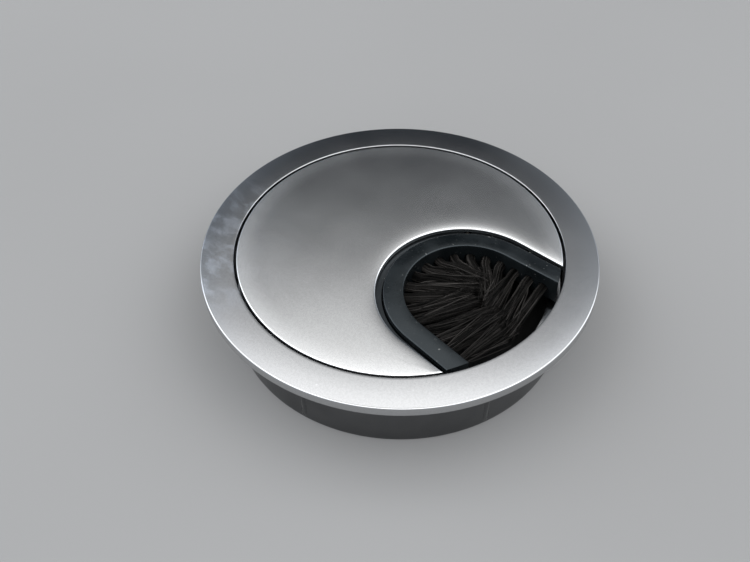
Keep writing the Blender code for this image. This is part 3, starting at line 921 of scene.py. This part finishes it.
def build_cover_plate(metal):
    """A flat plate whose top edge rolls over, further at the cable cut than at the rim."""
    cut_edge = rolled_edge(CUT_FILLET, CUT_SLOPE, CUT_REACH, 8, FALL_STATIONS)
    rim_edge = rolled_edge(RIM_FILLET, RIM_SLOPE, RIM_REACH, 8, FALL_STATIONS)
    bottom = COVER_TOP - COVER_THICKNESS
    levels = [(UNDER_ROUND, bottom, UNDER_ROUND, bottom),
              (0.0, bottom + UNDER_ROUND, 0.0, bottom + UNDER_ROUND)]
    for (cut_inset, cut_drop), (rim_inset, rim_drop) in zip(cut_edge, rim_edge):
        levels.append((cut_inset, COVER_TOP - cut_drop, rim_inset, COVER_TOP - rim_drop))
    bm = bmesh.new()
    rails = []
    for cut_inset, cut_z, rim_inset, rim_z in levels:
        rim_radius = COVER_RADIUS - rim_inset
        path = cut_path(COVER_CUT_X, COVER_CUT_RADIUS + cut_inset, COVER_CUT_FLARE, rim_radius)
        rail = []
        for k, (x, y) in enumerate(notched_outline(path, rim_radius)):
            on_cut = k < len(path)
            z = cut_z if on_cut else rim_z
            if z > COVER_TOP - TOP_DEPTH:
                from_cut = gentle_fall(cut_distance(x, y), CUT_SLOPE, CUT_REACH)
                from_rim = gentle_fall(COVER_RADIUS - math.hypot(x, y), RIM_SLOPE, RIM_REACH)
                z -= from_rim if on_cut else from_cut
            rail.append(bm.verts.new((x, y, z)))
        rails.append(rail)
    loft(bm, rails, closed=True)
    bm.faces.new(rails[0])
    bm.faces.new(rails[-1])
    plate = add_piece("cover_plate_metal", bm, (metal,), smooth_angle=40.0)
    lugs = bmesh.new()
    for x, y in LUG_PLACES:
        add_cylinder(lugs, x, y, LUG_RADIUS, COVER_LOW.z, bottom + LUG_ROOT)
    carve(plate, add_piece("lugs_tool", lugs, (metal,)), "UNION", split=True)
    stand_for(plate, "cover_plate", "cover")


# ---------------- carrier and its screws

def screw_places():
    """Two screws round the block's tip and one beside each arm."""
    reach = BLOCK_OUTER_RADIUS + EAR_RADIUS - EAR_OVERLAP
    angle = math.radians(SCREW_TIP_ANGLE)
    tip_x = BLOCK_X - reach * math.cos(angle)
    tip_y = reach * math.sin(angle)
    return ((tip_x, tip_y), (SCREW_SIDE_X, reach), (SCREW_SIDE_X, -reach), (tip_x, -tip_y))


def prism(bm, outline, z_low, z_high):
    """An outline raised between two heights."""
    low = [bm.verts.new((x, y, z_low)) for x, y in outline]
    high = [bm.verts.new((x, y, z_high)) for x, y in outline]
    loft(bm, [low, high], closed=True)
    bm.faces.new(low)
    bm.faces.new(high)


def build_carrier(plastic):
    """The disc under the cover: a skirt, stiffeners, the brush block's cut, holes for screws and lugs."""
    bottom = CARRIER_TOP - CARRIER_THICKNESS
    inner = CARRIER_RADIUS - SKIRT_WALL
    corner, edge = CARRIER_CORNER, MOULD_EDGE
    profile = [(0.0, bottom), (inner - corner - GUARD, bottom)]
    profile += arc(inner - corner, bottom - corner, corner, 90, 0, 4)
    profile += [(inner, SKIRT_BOTTOM + edge + GUARD)]
    profile += arc(inner + edge, SKIRT_BOTTOM + edge, edge, 180, 270, 3)
    profile += arc(CARRIER_RADIUS - edge, SKIRT_BOTTOM + edge, edge, 270, 360, 3)
    profile += arc(CARRIER_RADIUS - edge, CARRIER_TOP - edge, edge, 0, 90, 4)
    profile += [(CARRIER_RADIUS - edge - GUARD, CARRIER_TOP), (0.0, CARRIER_TOP)]
    bm = bmesh.new()
    turn(bm, profile, even_angles(180), closed=False)
    carrier = add_piece("carrier_moulding", bm, (plastic,), smooth_angle=30.0)

    start, end = STIFFENER_REACH
    size = Matrix.Diagonal((end - start, STIFFENER_WIDTH, STIFFENER_DEPTH + STIFFENER_ROOT, 1.0))
    shift = Matrix.Translation(((start + end) / 2, 0.0, bottom - STIFFENER_DEPTH / 2 + STIFFENER_ROOT / 2))
    for degrees in STIFFENERS:
        rib = bmesh.new()
        heading = Matrix.Rotation(math.radians(degrees), 4, "Z")
        bmesh.ops.create_cube(rib, size=1.0, matrix=heading @ shift @ size)
        bmesh.ops.bevel(rib, geom=list(rib.edges), offset=STIFFENER_ROUND, segments=2, profile=0.5,
                        affect="EDGES")
        carve(carrier, add_piece("stiffener_tool", rib, (plastic,)), "UNION")

    cut = bmesh.new()
    way_out = cut_path(BLOCK_X, BLOCK_OUTER_RADIUS + GAP, BLOCK_FLARE, CARRIER_RADIUS + 8 * TOOL_PAST)
    prism(cut, way_out, SKIRT_BOTTOM - 2 * TOOL_PAST, CARRIER_TOP + 2 * TOOL_PAST)
    carve(carrier, add_piece("carrier_cut_tool", cut, (plastic,)), "DIFFERENCE")

    holes = bmesh.new()
    for x, y in screw_places():
        add_cylinder(holes, x, y, SCREW_RADIUS + GAP, bottom - TOOL_PAST, CARRIER_TOP + TOOL_PAST, 24)
    for x, y in LUG_PLACES:
        add_cylinder(holes, x, y, LUG_RADIUS + GAP, bottom - 3 * TOOL_PAST, CARRIER_TOP + TOOL_PAST, 28)
    carve(carrier, add_piece("carrier_holes_tool", holes, (plastic,)), "DIFFERENCE")
    stand_for(carrier, "carrier", "brush_carrier")


def build_screw(number, x, y, metal):
    """A pan-head screw, head down, with a cross recess and a running thread."""
    node = f"block_screw_{number}"
    low, high = cad_extent(node)
    seat = low.z + SCREW_HEAD_HEIGHT
    dome = SCREW_HEAD_DOME
    profile = [(0.0, low.z), (0.9, low.z + 0.02)]
    profile += arc(SCREW_HEAD_RADIUS - dome, low.z + dome, dome, 270, 350, 6)
    profile += [(SCREW_HEAD_RADIUS, seat - 0.15), (SCREW_HEAD_RADIUS - 0.12, seat), (SCREW_SHANK, seat)]
    crest_start, crest_end, foot = THREAD_FLANKS
    for k in range(int((high.z - 1.0 - seat) / THREAD_PITCH)):
        z = seat + THREAD_START + k * THREAD_PITCH
        profile += [(SCREW_CORE, z), (SCREW_RADIUS, z + crest_start),
                    (SCREW_RADIUS, z + crest_end), (SCREW_CORE, z + foot)]
    profile += [(0.7, high.z - 0.9), (0.0, high.z)]
    bm = bmesh.new()
    turn(bm, profile, even_angles(36), closed=False)
    screw = add_piece(f"screw_{number}", bm, (metal,), smooth_angle=35.0)
    screw.location = (x * MM, y * MM, 0.0)
    recess = bmesh.new()
    half = RECESS_HALF_WIDTH
    quarter = ((RECESS_REACH, -half), (RECESS_REACH, half), (half, half))
    outline = []
    for k in range(4):
        c, s = round(math.cos(math.pi / 2 * k)), round(math.sin(math.pi / 2 * k))
        outline += [(px * c - py * s, px * s + py * c) for px, py in quarter]
    prism(recess, outline, low.z - TOOL_PAST, low.z + RECESS_DEPTH)
    tool = add_piece("recess_tool", recess, (metal,))
    tool.location = screw.location
    bpy.context.view_layer.update()
    carve(screw, tool, "DIFFERENCE")
    screw.data.transform(Matrix.Translation(screw.location))
    screw.location = (0.0, 0.0, 0.0)
    stand_for(screw, node, "brush_carrier")


# ---------------- brush block and bristles

def block_wall_place(distance, radius=BLOCK_INNER_RADIUS):
    """The point on the block's inner wall at a distance from its tip, and the way into the opening."""
    flare = math.radians(BLOCK_FLARE)
    sweep = math.pi / 2 - flare
    side = 1.0 if distance >= 0 else -1.0
    angle = min(abs(distance) / radius, sweep)
    beyond = max(abs(distance) - radius * sweep, 0.0)
    x = BLOCK_X - radius * math.cos(angle) + beyond * math.cos(flare)
    y = radius * math.sin(angle) + beyond * math.sin(flare)
    return Vector((x, side * y)), Vector((math.cos(angle), -side * math.sin(angle)))


def tuft_distance(number):
    """How far tuft number 1 to TUFTS sits from the block's tip, along its inner wall."""
    return (number - (TUFTS + 1) / 2) * TUFT_PITCH


def build_brush_block(plastic):
    """The U that rims the cable cut, with an ear for each screw and a hole for each tuft."""
    edge = MOULD_EDGE
    section = [(BLOCK_INNER_RADIUS + edge, BLOCK_BOTTOM)]
    section += [(BLOCK_OUTER_RADIUS - edge, BLOCK_BOTTOM), (BLOCK_OUTER_RADIUS, BLOCK_BOTTOM + edge)]
    section += [(BLOCK_OUTER_RADIUS, BLOCK_TOP_OUTER - BLOCK_WALL_GUARD)]
    section += arc(BLOCK_OUTER_RADIUS - edge, BLOCK_TOP_OUTER - edge, edge, 0, 90, 4)
    middle = (BLOCK_OUTER_RADIUS + BLOCK_INNER_RADIUS) / 2
    section += [(middle, (BLOCK_TOP_OUTER + BLOCK_TOP_INNER) / 2 + BLOCK_SWELL)]
    section += arc(BLOCK_INNER_RADIUS + edge, BLOCK_TOP_INNER - edge, edge, 90, 180, 4)
    section += [(BLOCK_INNER_RADIUS, BLOCK_TOP_INNER - BLOCK_WALL_GUARD)]
    section += [(BLOCK_INNER_RADIUS, BLOCK_BOTTOM + edge)]
    bm = bmesh.new()
    rails = []
    for radius, z in section:
        path = cut_path(BLOCK_X, radius, BLOCK_FLARE, BLOCK_END_RADIUS)
        rails.append([bm.verts.new((x, y, z)) for x, y in path])
    loft(bm, rails + rails[:1], closed=False)
    bm.faces.new([rail[0] for rail in rails])
    bm.faces.new([rail[-1] for rail in rails])
    block = add_piece("brush_block_moulding", bm, (plastic,), smooth_angle=30.0)

    ear_top = CARRIER_TOP - CARRIER_THICKNESS - GAP
    ear_bottom = ear_top - EAR_THICKNESS
    for x, y in screw_places():
        ear = bmesh.new()
        add_cylinder(ear, x, y, EAR_RADIUS, ear_bottom, ear_top, 48)
        carve(block, add_piece("ear_tool", ear, (plastic,)), "UNION")
    holes = bmesh.new()
    for x, y in screw_places():
        add_cylinder(holes, x, y, SCREW_RADIUS + GAP, ear_bottom - TOOL_PAST, ear_top + TOOL_PAST, 24)
    for number in range(1, TUFTS + 1):
        place, inward = block_wall_place(tuft_distance(number))
        middle = place - inward * (TUFT_HOLE_DEPTH - TOOL_PAST) / 2
        axis = Vector((inward.x, inward.y, 0.0)).to_track_quat("Z", "Y").to_matrix().to_4x4()
        bmesh.ops.create_cone(holes, cap_ends=True, segments=24,
                              radius1=TUFT_HOLE_RADIUS, radius2=TUFT_HOLE_RADIUS,
                              depth=TUFT_HOLE_DEPTH + TOOL_PAST,
                              matrix=Matrix.Translation((middle.x, middle.y, TUFT_Z)) @ axis)
    carve(block, add_piece("block_holes_tool", holes, (plastic,)), "DIFFERENCE")
    stand_for(block, "brush_block", "brush_carrier")


def combing(distance):
    """The heading, in radians, and the length of the tuft whose root is this far from the tip."""
    for (low, *first), (high, *second) in zip(COMBING, COMBING[1:]):
        if distance <= high:
            part = (distance - low) / (high - low)
            heading, length = (a + (b - a) * part for a, b in zip(first, second))
            return math.radians(heading), length
    return math.radians(COMBING[-1][1]), COMBING[-1][2]


def hair_tube(verts, faces, points, radii):
    """Adds one closed bristle along its points."""
    base = len(verts)
    for k, point in enumerate(points):
        ahead = (points[min(k + 1, len(points) - 1)] - points[max(k - 1, 0)]).normalized()
        side = ahead.cross(Vector((0, 0, 1))).normalized()
        over = ahead.cross(side)
        for s in range(HAIR_SIDES):
            angle = math.tau * s / HAIR_SIDES
            verts.append(point + radii[k] * (math.cos(angle) * side + math.sin(angle) * over))
    for k in range(len(points) - 1):
        for s in range(HAIR_SIDES):
            n = (s + 1) % HAIR_SIDES
            row, above = base + k * HAIR_SIDES, base + (k + 1) * HAIR_SIDES
            faces.append((row + s, row + n, above + n, above + s))
    faces.append(tuple(base + s for s in reversed(range(HAIR_SIDES))))
    last = base + (len(points) - 1) * HAIR_SIDES
    faces.append(tuple(last + s for s in range(HAIR_SIDES)))


def hair_line(root, offset, inward, way, length, bow):
    """A bristle's points: straight in its hole, then bending into its way and fanning out."""
    rooted = TUFT_HOLE_DEPTH * ROOTED_SHARE
    points = []
    for m in range(HAIR_STATIONS):
        reach = -rooted + (length + rooted) * m / (HAIR_STATIONS - 1)
        if reach <= 0:
            point = root + offset + inward * reach
        else:
            ahead = inward.lerp(way, min(reach / BEND_REACH, 1.0)).normalized()
            fan = 1.0 + FAN * reach / length
            point = root + offset * fan + ahead * reach + bow * (reach / length) ** 2
            point.z = min(point.z, HAIR_CEILING)
        points.append(point)
    return points


def build_tuft(number, nylon):
    """One tuft of separate bristles, in strands that each keep their own way, length and shade; the shade
    is partly painted sheen.
    """
    rng = random.Random(TUFT_SEEDS + number)
    distance = tuft_distance(number)
    place, inward = block_wall_place(distance)
    root = Vector((place.x, place.y, TUFT_Z))
    inward = Vector((inward.x, inward.y, 0.0))
    across = Vector((-inward.y, inward.x, 0.0))
    heading, tuft_length = combing(distance)
    heading += math.radians(rng.uniform(-TUFT_SWING, TUFT_SWING))
    combed = Vector((math.cos(heading), math.sin(heading), 0.0))
    strands = []
    for k in range(STRANDS):
        swing = math.radians(rng.uniform(-STRAND_SWING, STRAND_SWING))
        way = Matrix.Rotation(swing, 3, "Z") @ combed
        way.z = rng.gauss(*STRAND_CLIMB)
        strands.append((way.normalized(), tuft_length * rng.uniform(*STRAND_LENGTHS), rng.random()))
    radii = [HAIR_RADIUS * (1.0 - HAIR_TAPER * (m / (HAIR_STATIONS - 1)) ** 3)
             for m in range(HAIR_STATIONS)]
    verts, faces, sheen_tones = [], [], []
    for k in range(HAIRS_PER_TUFT):
        spread = TUFT_RADIUS * math.sqrt((k + 0.5) / HAIRS_PER_TUFT)
        angle = k * GOLDEN_ANGLE
        offset = spread * (math.cos(angle) * across + math.sin(angle) * Vector((0, 0, 1)))
        way, length, shade = strands[int((angle % math.tau) / math.tau * len(strands))]
        stray = rng.random() < STRAY_SHARE
        astray = Vector((rng.gauss(0, HAIR_SPREAD), rng.gauss(0, HAIR_SPREAD), rng.gauss(0, HAIR_CLIMB)))
        way = (way + astray * (STRAY_SPREAD if stray else 1.0)).normalized()
        length *= rng.uniform(*HAIR_LENGTHS)
        bow = Vector((rng.gauss(0, BOW_ASIDE), rng.gauss(0, BOW_ASIDE), rng.gauss(*BOW_UP)))
        hair_tube(verts, faces, hair_line(root, offset, inward, way, length, bow), radii)
        # Painted sheen in part: a bristle's tone is random, lighter on strays, and stands partly for the
        # nylon's highlights
        tone = min(1.0, shade * 0.3 + 0.7 * rng.random() ** 3 + (0.3 if stray else 0.0))
        sheen_tones += [tone] * (HAIR_SIDES * HAIR_STATIONS)
    mesh = bpy.data.meshes.new(f"bristles_{number:02d}")
    mesh.from_pydata([v * MM for v in verts], [], faces)
    mesh.attributes.new("bristle_tone_and_sheen", "FLOAT", "POINT").data.foreach_set("value", sheen_tones)
    mesh.materials.append(nylon)
    mesh.shade_smooth()
    tuft = bpy.data.objects.new(f"bristles_{number:02d}", mesh)
    bpy.context.scene.collection.objects.link(tuft)
    stand_for(tuft, f"bristle_tuft_{number:02d}", "brush_carrier")


# ---------------- the whole

def main():
    """The camera, the light, the floor and the 26 pieces."""
    bpy.context.scene.view_settings.view_transform = "Standard"
    add_camera()
    add_world()
    add_floor()

    ring_metal = satin_metal("ring_satin_nickel", RING_NICKEL, NICKEL_ROUGHNESS, 1.0)
    cover_metal = satin_metal("cover_satin_nickel", COVER_NICKEL, NICKEL_ROUGHNESS, COVER_HAZE,
                              worn_rim=COVER_WORN_FROM)
    barrel_shaded_metal = bright_metal("barrel_nickel_painted_shade", BARREL_NICKEL_PAINTED_SHADE, BARREL_ROUGHNESS)
    carrier_plastic = black_plastic("carrier_black_plastic", CARRIER_BLACK, CARRIER_ROUGHNESS)
    block_plastic = black_plastic("block_black_plastic", BLOCK_BLACK, BLOCK_ROUGHNESS)
    nylon = bristle_material()
    steel = screw_material()

    build_outer_ring(ring_metal, barrel_shaded_metal)
    build_cover_plate(cover_metal)
    build_carrier(carrier_plastic)
    build_brush_block(block_plastic)
    for number, (x, y) in enumerate(screw_places(), start=1):
        build_screw(number, x, y, steel)
    for number in range(1, TUFTS + 1):
        build_tuft(number, nylon)


main()
